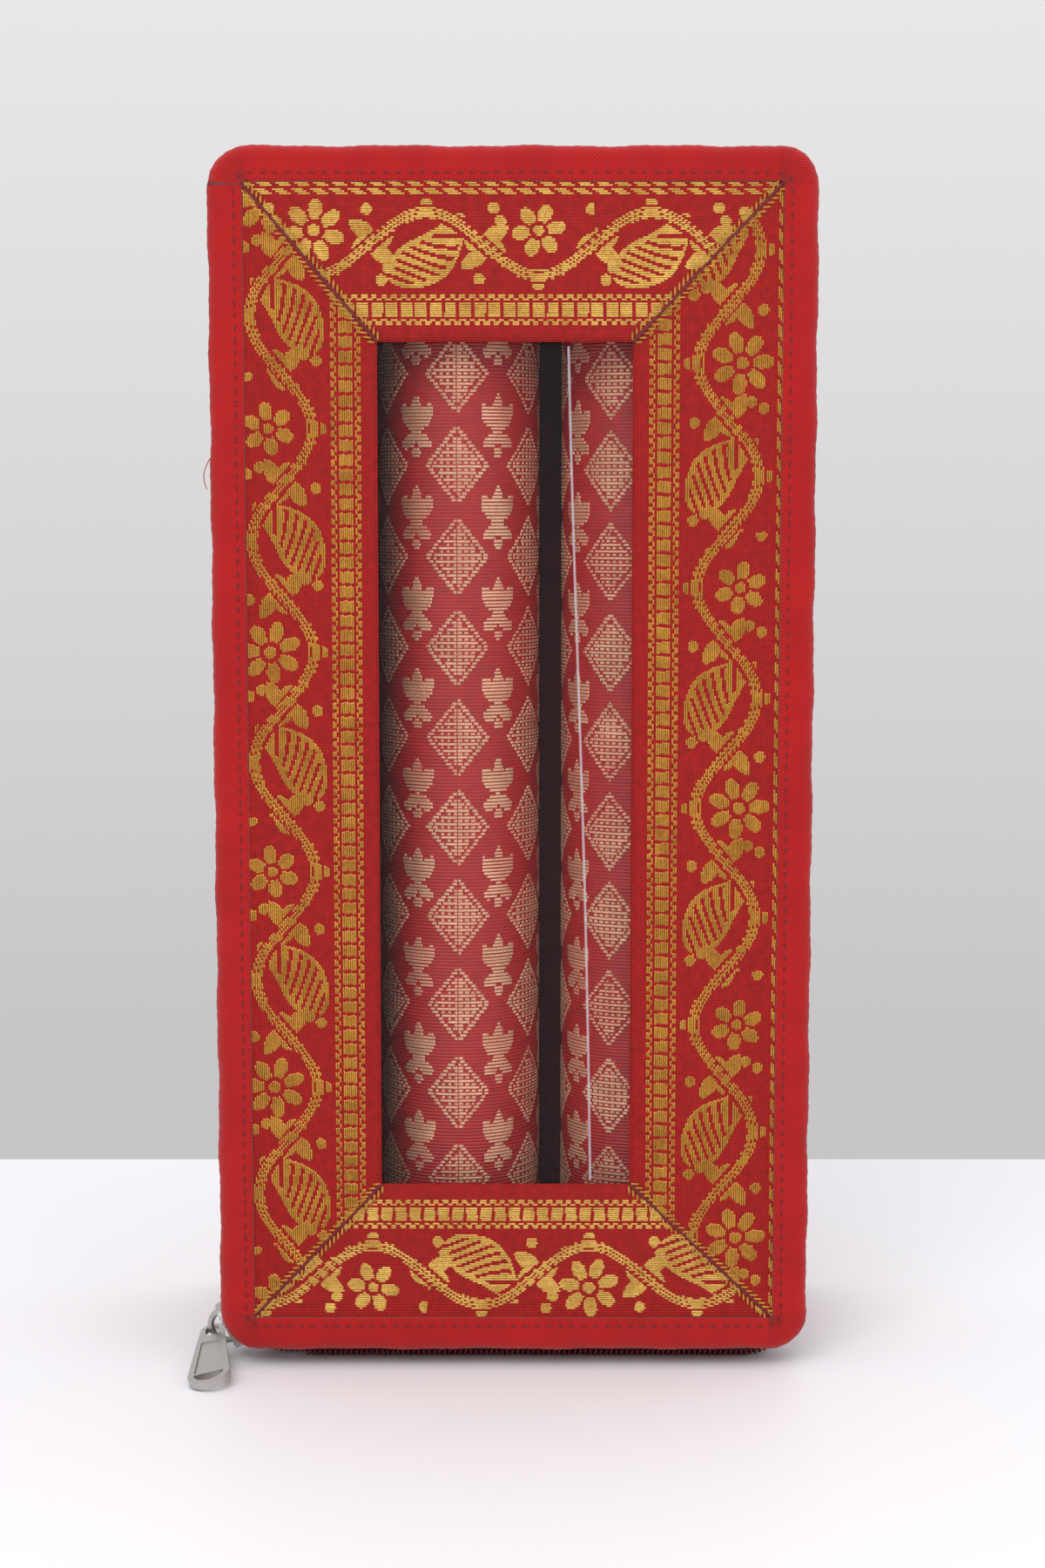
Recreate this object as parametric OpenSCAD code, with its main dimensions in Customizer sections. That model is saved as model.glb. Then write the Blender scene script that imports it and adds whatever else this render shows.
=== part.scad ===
// Zipped bangle box in red and gold brocade, standing on its short end.
// The lid has a clear window framed by four mitred woven borders, and faces -Y.
// Two padded brocade rolls stand inside. Units are millimetres, +Z is up.
//
// Every piece is drawn with the box lying on its back: x is the width, y the long
// way, and z the depth from the back (0) to the face of the lid. upright() then
// stands the piece on its short end.

/* [Box] */
// Width of the lid and of the back, over their bindings
box_w = 150; // [120:1:200]
// Overall height as it stands
box_h = 307; // [220:1:380]
// Overall depth, back binding to lid binding
box_d = 76; // [62:1:110]
// Corner radius of the lid and of the back
edge_r = 10; // [10:0.5:15]
// How far the edge of the lid stays above the surface the box stands on
lid_lift = 4.6; // [1:0.1:6]

/* [Lid borders] */
// Left edge of the lid to the window
border_left = 41.6; // [24:0.1:55]
// Right edge of the lid to the window
border_right = 45.6; // [24:0.1:55]
// Top edge of the lid to the window
border_top = 47.6; // [24:0.1:60]
// Bottom edge of the lid to the window
border_bottom = 43.6; // [24:0.1:60]
// Thickness of the woven border ribbons
ribbon_t = 0.7; // [0.5:0.1:1.2]
// Thickness of the clear window sheet
sheet_t = 0.4; // [0.3:0.1:0.8]
// How far the window sheet runs in behind the borders
sheet_margin = 12; // [6:1:18]
// Thickness of the card in the lid
lid_board_t = 1.6; // [1:0.1:3]
// How far the card and the lining of the lid stay back from the window edge
board_setback = 2; // [1:0.5:5]

/* [Binding] */
// Width of the twill binding on the face of the lid and of the back
binding_w = 9; // [7:0.5:9.5]
// Width of its solid folded edge
binding_edge_w = 4.6; // [4:0.1:5.5]
// Thickness of the binding where it wraps the edge
binding_t = 4.9; // [4.6:0.1:7]
// Thickness of one layer of the binding
flap_t = 0.8; // [0.5:0.1:1]

/* [Walls] */
// How far the side walls stay inside the zip line
wall_inset = 6; // [5:0.5:7]
// Thickness of the wall and back card
wall_board_t = 2; // [1.2:0.1:3]
// Thickness of the brocade cover
cover_t = 0.6; // [0.4:0.1:1]
// Thickness of the lining
lining_t = 0.5; // [0.3:0.1:0.8]

/* [Zip] */
// Face of the lid to the middle of the zip
zip_depth = 13; // [12:0.5:18]
// Radius of the zip line round the corners of the box
zip_r = 16; // [15:0.5:20]
// Width of one half of the coil
coil_w = 2.85; // [2.6:0.05:3.2]
// Thickness of the coil
coil_t = 2.4; // [2:0.1:3]
// Thickness of the zip tape
tape_t = 0.8; // [0.5:0.1:1]
// Gap between the two halves of the coil
coil_gap = 0.3; // [0.3:0.05:0.5]
// Left end of the zip above the corner
zip_stub = 8; // [4:1:14]
// Where the lid half of the zip starts, after the corner, so that it swings past the pull
lid_zip_start = 20; // [4:0.5:30]

/* [Slider and pull] */
// Place of the slider on the corner, degrees from +x, in the view from the front
slider_angle = 208; // [204:1:212]
// Length of the slider
slider_len = 12; // [10:0.5:12]
// Width of the slider
slider_w = 8.2; // [8:0.1:10]
// Clearance round the coil and tape
slider_gap = 0.35; // [0.3:0.05:0.6]
// Metal outside the coil
slider_plate_t = 1.15; // [0.9:0.05:1.6]
// Radius of the arch that holds the pull
arch_r = 4.1; // [3.8:0.1:4.6]
// Thickness of the arch's wire
arch_wire_d = 1.7; // [1.4:0.1:2]
// Overall length of the pull
pull_len = 34; // [26:0.5:40]
// Radius of the pull's rounded lower end
pull_end_r = 5.4; // [4.6:0.1:6]
// Radius of the pull's eye end
pull_eye_r = 3.1; // [2.9:0.1:3.6]
// Thickness of the pull's rim
pull_t = 1.8; // [1.4:0.1:2]
// Width of the pull's rim
pull_rim = 1.6; // [1.2:0.1:2]
// Half width of the slot in the eye
eye_slot_r = 1.75; // [1.65:0.05:1.9]
// How far the pull leans down to the surface, in degrees
pull_lean = 7.4; // [5:0.1:9]
// How far the pull is rolled on its own length, in degrees
pull_roll = 12; // [0:1:16]

/* [Rolls] */
// Diameter of a finished roll
roll_d = 41.5; // [30:0.5:50]
// Length of a finished roll
roll_len = 284; // [150:1:340]
// Sideways place of the first roll
roll_1_x = -14.1; // [-40:0.1:-10]
// Sideways place of the second roll
roll_2_x = 33.1; // [15:0.1:45]
// Gap between the rolls and the lining of the lid
roll_front_gap = 5.4; // [3:0.1:20]
// Thickness of the brocade sleeve
sleeve_t = 0.7; // [0.4:0.1:1.2]
// Thickness of the padding under the sleeve
padding_t = 2.2; // [1:0.1:5]
// Wall of the card tube
tube_t = 1.5; // [1:0.1:3]
// Thickness of the cloth disc on each end
cap_t = 1.2; // [0.8:0.1:2]

/* [Hidden] */
$fn = 96;

// Clearance between pieces that lie against each other round a curve
fit = 0.1;
// Outlines, as [width, height, bottom, corner radius]
zip_proud = 0.2;
zip_drop = 0.5;
back_outline = [box_w, box_h, 0, edge_r];
lid_outline = [box_w, box_h - lid_lift, lid_lift, edge_r];
zip_outline = [box_w + 2 * zip_proud, box_h - zip_drop, 0, zip_r];
// The card, covers and linings stop inside the folded edge of the binding
panel_inset = binding_edge_w + fit;

// Depth of each layer of the back, from the back outwards
back_cover_z = flap_t + fit;
back_board_z = back_cover_z + cover_t;
back_lining_z = back_board_z + wall_board_t;
back_inside_z = back_lining_z + lining_t;
// Depth of each layer of the lid, from inside to the face
ribbon_z = box_d - flap_t - fit - ribbon_t;
sheet_z = ribbon_z - sheet_t;
lid_board_z = sheet_z - lid_board_t;
lid_lining_z = lid_board_z - lining_t;
lid_back_z = box_d - binding_t;

// The zip line
zip_z = box_d - zip_depth;
wall_top_z = zip_z - 12;
corner_x = zip_outline[0] / 2 - zip_r;
corner_y = zip_r;
zip_mid_y = zip_outline[1] / 2;
run_half_x = zip_outline[0] / 2 - zip_r;
run_half_y = zip_outline[1] / 2 - zip_r;
// The tape runs flat under the coil, and then slopes in to the wall
tape_flat = coil_w + 3;
lid_flat = coil_w + 0.6;
cloth_flat = 1.3;

// The slider's channel
channel_out = zip_r + slider_gap;
channel_in = zip_r - coil_t - tape_t - slider_gap;
channel_half = coil_gap / 2 + coil_w + 0.4;
tape_slot_out = zip_r - coil_t + slider_gap;
plate_x = channel_out + slider_plate_t;
plate_in_x = channel_in - 2.25;
post_w = 2.8;
// The pull
pull_pivot_x = plate_x + arch_r;
pull_end_x = pull_len - pull_eye_r - pull_end_r;
pull_plate_t = 1;
pull_eye_t = 1.4;
eye_slot_l = 2.2;
crescent_r = pull_end_r - pull_rim;
pull_yaw = 4.5;

// The rolls
roll_z = lid_lining_z - roll_front_gap - roll_d / 2;
floor_gap = 0.3;
roll_bottom = wall_inset + cover_t + wall_board_t + lining_t + floor_gap;
roll_1_place = [roll_1_x, roll_bottom, roll_z];
roll_2_place = [roll_2_x, roll_bottom, roll_z];

// Window corners and the square corners of the lid's panel
win_l = -box_w / 2 + border_left;
win_r = box_w / 2 - border_right;
win_b = lid_lift + border_bottom;
win_t = box_h - border_top;
panel_l = -box_w / 2 + panel_inset;
panel_r = box_w / 2 - panel_inset;
panel_b = lid_lift + panel_inset;
panel_t = box_h - panel_inset;

// The pull stands out to the left and the front, so the middle is worked out with it
reach_left = corner_x - pull_pivot_x * cos(slider_angle) + pull_end_r - pull_end_x * sin(pull_yaw);
reach_front = zip_z - box_d / 2 + pull_end_x * cos(pull_lean) + pull_end_r;
middle_x = (reach_left - zip_outline[0] / 2) / 2;
middle_y = (reach_front - box_d / 2) / 2;

// Stands a piece up, with the lid facing -Y, over the middle of the whole object
module upright()
    translate([middle_x, middle_y, 0])
        rotate([90, 0, 0])
            translate([0, 0, -box_d / 2])
                children();

// A rounded plate of the given outline, drawn in by inset
module plate(outline, inset, z, t)
    translate([0, outline[2] + outline[1] / 2, z])
        linear_extrude(t)
            rounded_rect(outline[0] - 2 * inset, outline[1] - 2 * inset, outline[3] - inset);

module rounded_rect(w, h, r) {
    square([w - 2 * r, h], center = true);
    square([w, h - 2 * r], center = true);
    for (sx = [-1, 1], sy = [-1, 1])
        translate([sx * (w / 2 - r), sy * (h / 2 - r)])
            circle(r);
}

// A profile is drawn with x = 0 on the outline and x below 0 inside it, and y as depth.
// turn_side: 0 is the right side or top right corner, 90 the top or top left corner,
// 180 the left side or bottom left corner, 270 the bottom or bottom right corner.
module corner_sweep(outline, turn_side) {
    sx = turn_side == 0 || turn_side == 270 ? 1 : -1;
    sy = turn_side < 180 ? 1 : -1;
    r = outline[3];
    translate([sx * (outline[0] / 2 - r), outline[2] + outline[1] / 2 + sy * (outline[1] / 2 - r), 0])
        rotate([0, 0, turn_side])
            rotate_extrude(angle = 90)
                translate([r, 0])
                    children();
}

// A straight run of the profile, from one place to another along that side, anticlockwise
module side_sweep(outline, turn_side, from, to) {
    out = turn_side % 180 == 0 ? outline[0] / 2 : outline[1] / 2;
    translate([0, outline[2] + outline[1] / 2, 0])
        rotate([0, 0, turn_side])
            translate([out, to, 0])
                rotate([90, 0, 0])
                    linear_extrude(to - from)
                        children();
}

function half_run(outline, turn_side) =
    (turn_side % 180 == 0 ? outline[1] : outline[0]) / 2 - outline[3];

module full_side(outline, turn_side)
    side_sweep(outline, turn_side, -half_run(outline, turn_side), half_run(outline, turn_side))
        children();

module ring_sweep(outline)
    for (turn_side = [0, 90, 180, 270]) {
        corner_sweep(outline, turn_side) children();
        full_side(outline, turn_side) children();
    }

// Bias binding folded round an edge: a rounded outer fold and two flaps.
// face_z is the outside of the panel, and dir points from there into the box.
module binding_profile(face_z, dir, inner_flap_w) {
    r = min(binding_t, binding_edge_w) * 0.45;
    z_in = face_z + dir * binding_t;
    lo = min(face_z, z_in);
    hi = max(face_z, z_in);
    translate([-r, lo + r])
        circle(r);
    translate([-r, hi - r])
        circle(r);
    translate([-binding_edge_w, lo + r])
        square([binding_edge_w, hi - lo - 2 * r]);
    translate([-binding_edge_w, lo])
        square([binding_edge_w - r, hi - lo]);
    translate([-binding_w, dir > 0 ? face_z : face_z - flap_t])
        square([binding_w, flap_t] - [r, 0]);
    translate([-inner_flap_w, dir > 0 ? z_in - flap_t : z_in])
        square([inner_flap_w - r, flap_t]);
}

// One half of the coil, centred at depth z
module coil_profile(z)
    translate([-coil_t / 2, z]) {
        flat = (coil_w - coil_t) / 2;
        translate([0, -flat])
            circle(coil_t / 2);
        translate([0, flat])
            circle(coil_t / 2);
        square([coil_t, 2 * flat], center = true);
    }

// A band that runs flat from the zip line and then slopes in to the wall or the lid
module band_profile(top_out, near_z, flat, dir, far_z, t)
    polygon([
        [-top_out, near_z],
        [-top_out, near_z + dir * flat],
        [-wall_inset, far_z],
        [-wall_inset - t, far_z],
        [-top_out - t, near_z + dir * flat + dir * 0.3],
        [-top_out - t, near_z]
    ]);

module tape_body_profile()
    band_profile(coil_t, zip_z - coil_gap / 2, tape_flat, -1, wall_top_z + fit, tape_t);

module tape_lid_profile()
    band_profile(coil_t, zip_z + coil_gap / 2, lid_flat, 1, lid_back_z - fit, tape_t);

module cloth_body_profile()
    band_profile(0, zip_z - coil_gap / 2, cloth_flat, -1, wall_top_z + fit, tape_t);

module cloth_lid_profile()
    band_profile(0, zip_z + coil_gap / 2, cloth_flat, 1, lid_back_z - fit, tape_t);

// The body half of the zip: up round both left corners, and all along three sides
module body_zip_path() {
    side_sweep(zip_outline, 180, run_half_y - zip_stub, run_half_y) children();
    corner_sweep(zip_outline, 180) children();
    full_side(zip_outline, 270) children();
    corner_sweep(zip_outline, 270) children();
    full_side(zip_outline, 0) children();
    corner_sweep(zip_outline, 0) children();
    full_side(zip_outline, 90) children();
    corner_sweep(zip_outline, 90) children();
    side_sweep(zip_outline, 180, -run_half_y, -run_half_y + zip_stub) children();
}

// The lid half starts past the corner where the slider sits when the zip is closed
module lid_zip_path() {
    side_sweep(zip_outline, 270, -run_half_x + lid_zip_start, run_half_x) children();
    corner_sweep(zip_outline, 270) children();
    full_side(zip_outline, 0) children();
    corner_sweep(zip_outline, 0) children();
    full_side(zip_outline, 90) children();
    corner_sweep(zip_outline, 90) children();
}

// Back and walls

module back_board()
    color("tan") upright()
        plate(back_outline, panel_inset, back_board_z, wall_board_t);

module back_cover()
    color("firebrick") upright()
        plate(back_outline, panel_inset, back_cover_z, cover_t);

module back_lining()
    color("maroon") upright()
        plate(back_outline, panel_inset, back_lining_z, lining_t);

module wall_profile(from, t)
    translate([-wall_inset - from - t, back_inside_z])
        square([t, wall_top_z - back_inside_z]);

module wall_board(turn_side)
    color("tan") upright()
        full_side(zip_outline, turn_side) wall_profile(cover_t, wall_board_t);

module left_wall_board() wall_board(180);

module right_wall_board() wall_board(0);

module top_wall_board() wall_board(90);

module bottom_wall_board() wall_board(270);

module outer_cover()
    color("crimson") upright()
        ring_sweep(zip_outline) wall_profile(0, cover_t);

module wall_lining()
    color("maroon") upright()
        ring_sweep(zip_outline) wall_profile(cover_t + wall_board_t, lining_t);

module back_binding()
    color("red") upright()
        ring_sweep(back_outline) binding_profile(0, 1, wall_inset - 2 * zip_proud);

// Fabric hinge along the left side

module hinge_cloth()
    color("darkred") upright()
        side_sweep(zip_outline, 180, -run_half_y + zip_stub + 1, run_half_y - zip_stub - 1)
            cloth_body_profile();

module lid_hinge_cloth()
    color("darkred") upright()
        side_sweep(zip_outline, 180, -run_half_y + 1, run_half_y - zip_stub - 1)
            cloth_lid_profile();

// Zip

module zip_tape_body()
    color("maroon") upright()
        body_zip_path() tape_body_profile();

module zip_coil_body()
    color("purple") upright()
        body_zip_path() coil_profile(zip_z - coil_gap / 2 - coil_w / 2);

module zip_tape_lid()
    color("maroon") upright()
        lid_zip_path() tape_lid_profile();

module zip_coil_lid()
    color("purple") upright()
        lid_zip_path() coil_profile(zip_z + coil_gap / 2 + coil_w / 2);

// Lid

module lid_panel(z, t, setback)
    difference() {
        plate(lid_outline, panel_inset, z, t);
        translate([win_l - setback, win_b - setback, z - 1])
            cube([win_r - win_l + 2 * setback, win_t - win_b + 2 * setback, t + 2]);
    }

module lid_board()
    color("tan") upright()
        lid_panel(lid_board_z, lid_board_t, board_setback);

module lid_lining()
    color("maroon") upright()
        lid_panel(lid_lining_z, lining_t, board_setback);

module window_sheet()
    color("lightblue", 0.35) upright()
        translate([win_l - sheet_margin, win_b - sheet_margin, sheet_z])
            cube([win_r - win_l + 2 * sheet_margin, win_t - win_b + 2 * sheet_margin, sheet_t]);

// One border ribbon, cut on the mitres between the given window and panel corners
module border_ribbon(window_a, window_b, panel_b, panel_a)
    color("goldenrod") upright()
        intersection() {
            plate(lid_outline, panel_inset, ribbon_z, ribbon_t);
            translate([0, 0, ribbon_z - 1])
                linear_extrude(ribbon_t + 2)
                    polygon([window_a, window_b, panel_b, panel_a]);
        }

module border_top_ribbon()
    border_ribbon([win_r, win_t], [win_l, win_t], [panel_l, panel_t], [panel_r, panel_t]);

module border_bottom_ribbon()
    border_ribbon([win_l, win_b], [win_r, win_b], [panel_r, panel_b], [panel_l, panel_b]);

module border_left_ribbon()
    border_ribbon([win_l, win_t], [win_l, win_b], [panel_l, panel_b], [panel_l, panel_t]);

module border_right_ribbon()
    border_ribbon([win_r, win_b], [win_r, win_t], [panel_r, panel_t], [panel_r, panel_b]);

module lid_binding()
    color("red") upright()
        ring_sweep(lid_outline) binding_profile(box_d, -1, wall_inset + tape_t);

// Slider, arch and pull tab.
// Here x points out of the corner, y along the zip towards its closed run, z to the lid.

module at_slider()
    translate([-corner_x, corner_y, zip_z])
        rotate([0, 0, slider_angle])
            children();

module ring_cut(r_in, r_out, half)
    rotate_extrude()
        translate([r_in, -half])
            square([r_out - r_in, 2 * half]);

module slider_outline() {
    nose_r = slider_w / 2;
    tail_w = slider_w - 1;
    nose_x = nose_r - slider_len / 2;
    translate([nose_x, 0])
        circle(nose_r);
    translate([nose_x, -tail_w / 2])
        square([slider_len / 2 - nose_x, tail_w]);
}

module slider_body()
    color("silver") upright() at_slider() {
        difference() {
            translate([plate_in_x, 0, 0])
                rotate([90, 0, 90])
                    linear_extrude(plate_x - plate_in_x)
                        slider_outline();
            ring_cut(channel_in, channel_out, channel_half);
            ring_cut(channel_in, tape_slot_out, slider_w);
        }
        // The post between the two plates, on the lid side of the body coil
        translate([channel_in - 0.6, -slider_len / 2 + 1, coil_gap])
            cube([channel_out - channel_in + 0.9, post_w, coil_w]);
    }

module slider_arch()
    color("silver") upright() at_slider()
        translate([plate_x, 0, 0])
            rotate([0, 0, -90])
                rotate_extrude(angle = 180)
                    translate([arch_r, 0])
                        circle(arch_wire_d / 2);

// Two circles and the straight sides that touch both
module tapered_outline(r_near, r_far, run) {
    lean = asin((r_far - r_near) / run);
    near_x = -r_near * sin(lean);
    near_y = r_near * cos(lean);
    far_x = run - r_far * sin(lean);
    far_y = r_far * cos(lean);
    circle(r_near);
    translate([run, 0])
        circle(r_far);
    polygon([[near_x, near_y], [near_x, -near_y], [far_x, -far_y], [far_x, far_y]]);
}

module slab(t)
    translate([0, 0, -t / 2])
        linear_extrude(t)
            children();

module pull_shape() {
    recess_top = pull_eye_r + 4;
    recess_end = pull_end_x - 0.9;
    difference() {
        slab(pull_t)
            tapered_outline(pull_eye_r, pull_end_r, pull_end_x);
        // Shallow bare field on both faces
        for (side = [-1, 1])
            translate([0, 0, side * (pull_t + pull_plate_t) / 2])
                slab(pull_t)
                    intersection() {
                        tapered_outline(pull_eye_r - pull_rim + 0.5, crescent_r, pull_end_x);
                        translate([recess_top, -pull_end_r])
                            square([recess_end - recess_top, 2 * pull_end_r]);
                    }
        // Thinner eye
        for (side = [-1, 1])
            translate([0, 0, side * (pull_t + pull_eye_t) / 2])
                slab(pull_t)
                    translate([-pull_eye_r, -pull_end_r])
                        square([2 * pull_eye_r, 2 * pull_end_r]);
        // Slot that rides on the arch
        slab(2 * pull_t) {
            circle(eye_slot_r);
            translate([eye_slot_l, 0])
                circle(eye_slot_r);
            translate([0, -eye_slot_r])
                square([eye_slot_l, 2 * eye_slot_r]);
        }
        // Half-round hole at the lower end
        slab(2 * pull_t)
            intersection() {
                translate([pull_end_x, 0])
                    circle(crescent_r);
                translate([pull_end_x, -pull_end_r])
                    square([pull_end_r, 2 * pull_end_r]);
            }
    }
}

module pull_tab()
    color("silver") upright()
        translate([-corner_x + pull_pivot_x * cos(slider_angle),
            corner_y + pull_pivot_x * sin(slider_angle), zip_z])
            rotate([pull_lean, 0, 0])
                rotate([0, pull_yaw, 0])
                    rotate([0, 0, 90 + pull_roll])
                        rotate([0, -90, 0])
                            pull_shape();

// Rolls

module pipe(place, r_out, r_in, from, to)
    color("crimson") upright()
        translate(place)
            rotate([-90, 0, 0])
                translate([0, 0, from])
                    difference() {
                        cylinder(h = to - from, r = r_out);
                        if (r_in > 0)
                            translate([0, 0, -1])
                                cylinder(h = to - from + 2, r = r_in);
                    }

module roll_tube(place) {
    r = roll_d / 2 - sleeve_t - padding_t - fit;
    pipe(place, r - fit, r - fit - tube_t, cap_t + fit, roll_len - cap_t - fit);
}

module roll_padding(place) {
    r = roll_d / 2 - sleeve_t - fit;
    pipe(place, r, r - padding_t, cap_t + fit, roll_len - cap_t - fit);
}

module roll_sleeve(place)
    pipe(place, roll_d / 2, roll_d / 2 - sleeve_t, cap_t, roll_len - cap_t);

module roll_cap(place, from)
    pipe(place, roll_d / 2, 0, from, from + cap_t);

module roll_1_tube() roll_tube(roll_1_place);

module roll_1_padding() roll_padding(roll_1_place);

module roll_1_sleeve() roll_sleeve(roll_1_place);

module roll_1_top_cap() roll_cap(roll_1_place, roll_len - cap_t);

module roll_1_bottom_cap() roll_cap(roll_1_place, 0);

module roll_2_tube() roll_tube(roll_2_place);

module roll_2_padding() roll_padding(roll_2_place);

module roll_2_sleeve() roll_sleeve(roll_2_place);

module roll_2_top_cap() roll_cap(roll_2_place, roll_len - cap_t);

module roll_2_bottom_cap() roll_cap(roll_2_place, 0);

back_board();
left_wall_board();
right_wall_board();
top_wall_board();
bottom_wall_board();
outer_cover();
wall_lining();
back_cover();
back_lining();
back_binding();
hinge_cloth();
zip_tape_body();
zip_coil_body();
lid_board();
lid_lining();
window_sheet();
border_top_ribbon();
border_bottom_ribbon();
border_left_ribbon();
border_right_ribbon();
lid_binding();
lid_hinge_cloth();
zip_tape_lid();
zip_coil_lid();
slider_body();
slider_arch();
pull_tab();
roll_1_tube();
roll_1_padding();
roll_1_sleeve();
roll_1_top_cap();
roll_1_bottom_cap();
roll_2_tube();
roll_2_padding();
roll_2_sleeve();
roll_2_top_cap();
roll_2_bottom_cap();
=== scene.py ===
import bpy
import math
import random
import numpy as np
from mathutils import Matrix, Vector


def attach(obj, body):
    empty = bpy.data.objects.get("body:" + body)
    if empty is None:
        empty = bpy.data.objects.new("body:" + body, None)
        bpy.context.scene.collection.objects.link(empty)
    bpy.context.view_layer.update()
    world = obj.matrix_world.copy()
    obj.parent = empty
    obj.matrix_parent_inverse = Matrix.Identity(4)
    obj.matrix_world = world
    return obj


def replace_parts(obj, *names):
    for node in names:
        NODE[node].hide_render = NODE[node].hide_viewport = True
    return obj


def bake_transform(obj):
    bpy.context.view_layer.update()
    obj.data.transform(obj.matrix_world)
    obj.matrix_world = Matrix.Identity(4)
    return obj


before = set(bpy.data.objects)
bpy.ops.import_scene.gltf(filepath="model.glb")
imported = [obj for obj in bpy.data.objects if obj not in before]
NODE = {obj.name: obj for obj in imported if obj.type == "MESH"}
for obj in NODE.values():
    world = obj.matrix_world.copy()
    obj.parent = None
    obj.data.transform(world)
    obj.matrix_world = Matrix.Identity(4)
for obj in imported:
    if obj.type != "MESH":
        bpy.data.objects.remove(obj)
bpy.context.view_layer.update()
random.seed(7)

# Layout of the box, in millimetres, on its back: across, along its length, and depth from the back.
# stand() turns that into metres in the row frame, with the lid facing -Y.
MIDDLE_X, MIDDLE_Y = 3.2355, 8.855
BOX_W, BOX_H, BOX_D = 150.0, 307.0, 76.0
LID_LIFT, EDGE_R = 4.6, 10.0
LID = (BOX_W, BOX_H - LID_LIFT, LID_LIFT, EDGE_R)
BACK = (BOX_W, BOX_H, 0.0, EDGE_R)
ZIP = (BOX_W + 0.4, BOX_H - 0.5, 0.0, 16.0)
ZIP_DEPTH = 63.0
COIL_W, COIL_T, TAPE_T, COIL_GAP = 2.85, 2.4, 0.8, 0.3
WALL_INSET = 6.0
TAPE_ON_WALL, TAPE_ON_LID = 51.1, 71.0   # depths where the zip tape is sewn down
WINDOW = (-BOX_W / 2 + 41.6, BOX_W / 2 - 45.6, LID_LIFT + 43.6, BOX_H - 47.6)
RIBBON_FACE, RIBBON_T = 75.1, 0.6


def stand(points):
    p = np.asarray(points, float).reshape(-1, 3)
    out = np.empty_like(p)
    out[:, 0] = (p[:, 0] + MIDDLE_X) / 1000
    out[:, 1] = (BOX_D / 2 - p[:, 2] + MIDDLE_Y) / 1000
    out[:, 2] = p[:, 1] / 1000
    return out


def piece(name, verts, faces, material, smooth=True, cloth=None):
    """A mesh object from millimetre points; cloth gives each point its place along and across the cloth."""
    mesh = bpy.data.meshes.new(name)
    mesh.from_pydata(stand(verts).tolist(), [], faces)
    if cloth is not None:
        flat = np.zeros((len(mesh.vertices), 3), np.float32)
        flat[:, :2] = cloth
        mesh.attributes.new("cloth", "FLOAT_VECTOR", "POINT").data.foreach_set("vector", flat.ravel())
    mesh.materials.append(material)
    mesh.validate()
    if smooth:
        mesh.shade_smooth()
    obj = bpy.data.objects.new(name, mesh)
    bpy.context.collection.objects.link(obj)
    return obj


def grid(rows, columns, wrap=False):
    """Quads over points laid row after row; wrap joins each row's last point to its first."""
    faces = []
    for i in range(rows - 1):
        for j in range(columns if wrap else columns - 1):
            k = (j + 1) % columns
            faces.append((i * columns + j, i * columns + k, (i + 1) * columns + k, (i + 1) * columns + j))
    return faces


def turned(quads):
    """The same quads, facing the other way and starting from the same corner."""
    return [(a, d, c, b) for a, b, c, d in quads]


# Shader helpers: a Value is a node output that ordinary operators work on.
class Value:
    def __init__(self, shade, out):
        self.shade, self.out = shade, out

    def math(self, kind, other=None):
        node = self.shade.tree.nodes.new("ShaderNodeMath")
        node.operation = kind
        self.shade.put(node.inputs[0], self)
        if other is not None:
            self.shade.put(node.inputs[1], other)
        return Value(self.shade, node.outputs[0])

    def __add__(self, v):
        return self.math("ADD", v)

    def __sub__(self, v):
        return self.math("SUBTRACT", v)

    def __mul__(self, v):
        return self.math("MULTIPLY", v)

    def __truediv__(self, v):
        return self.math("DIVIDE", v)

    def sin(self):
        return self.math("SINE")

    def fract(self):
        return self.math("FRACT")

    def below(self, v):
        return self.math("LESS_THAN", v)

    def power(self, v):
        return self.math("POWER", v)


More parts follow.
